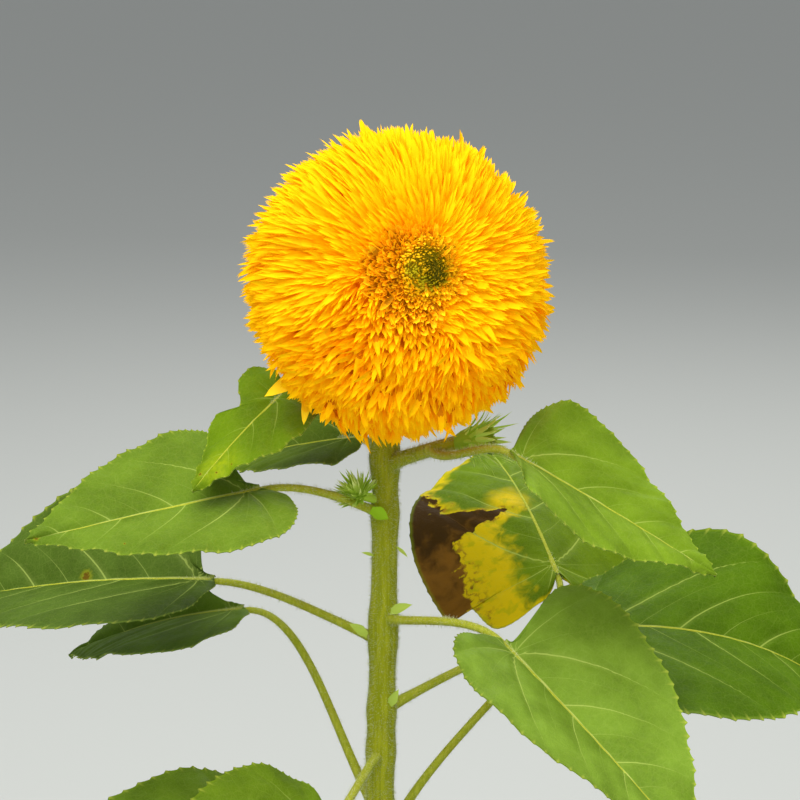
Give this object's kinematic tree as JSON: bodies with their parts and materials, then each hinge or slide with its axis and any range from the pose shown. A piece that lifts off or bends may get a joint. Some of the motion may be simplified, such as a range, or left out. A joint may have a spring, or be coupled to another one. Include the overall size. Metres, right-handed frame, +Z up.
{
  "type": "dwarf double-flowered sunflower plant",
  "caption": "Rooted dwarf sunflower with a round full flower head, heart-shaped leaves on long stalks, and a side shoot with a half-open bud.",
  "frame": {"origin": "centre of the flat cut under the main stem, at ground level", "axes": "+Z up along the main stem; the flower head faces -Y, a little towards +X and upwards"},
  "size_m": [0.4212, 0.3525, 0.5759],
  "materials": {
    "stem": "ribbed green stem with pale hairs",
    "stalk": "hairy yellow-green leaf stalk",
    "leaf": "rough green leaf with pale veins",
    "old_leaf": "yellowing leaf with a dry brown side",
    "bract": "hairy green bract",
    "floret": "golden yellow petal",
    "disc": "green and amber disc florets",
    "bud_floret": "young yellow petal"
  },
  "bodies": {
    "root": {"main_stem": "stem", "side_branch": "stem", "petiole_crown_left": "stalk", "blade_crown_left": "leaf", "petiole_crown_back": "stalk", "blade_crown_back": "leaf", "petiole_crown_far_left": "stalk", "blade_crown_far_left": "leaf", "petiole_upper_left": "stalk", "blade_upper_left": "leaf", "axil_bud": "bract", "petiole_front_right": "stalk", "blade_front_right": "leaf", "petiole_left": "stalk", "blade_left": "leaf", "petiole_right": "stalk", "blade_right": "leaf", "petiole_front_left": "stalk", "blade_front_left": "leaf", "petiole_far_left": "stalk", "blade_far_left": "leaf", "petiole_far_right": "stalk", "blade_far_right": "old_leaf", "petiole_lower_1": "stalk", "blade_lower_1": "leaf", "petiole_lower_2": "stalk", "blade_lower_2": "leaf", "petiole_lower_3": "stalk", "blade_lower_3": "leaf", "petiole_lower_4": "stalk", "blade_lower_4": "leaf", "petiole_lower_5": "stalk", "blade_lower_5": "leaf", "petiole_lower_6": "stalk", "blade_lower_6": "leaf", "petiole_lower_7": "stalk", "blade_lower_7": "leaf", "petiole_shoot": "stalk", "blade_shoot": "leaf", "side_bud_bracts": "bract", "side_bud_florets": "bud_floret", "leaflet_1": "bract", "leaflet_2": "bract", "leaflet_3": "bract", "leaflet_4": "bract", "head_involucre": "bract", "head_florets": "floret", "head_disc": "disc"}
  },
  "joints": []
}
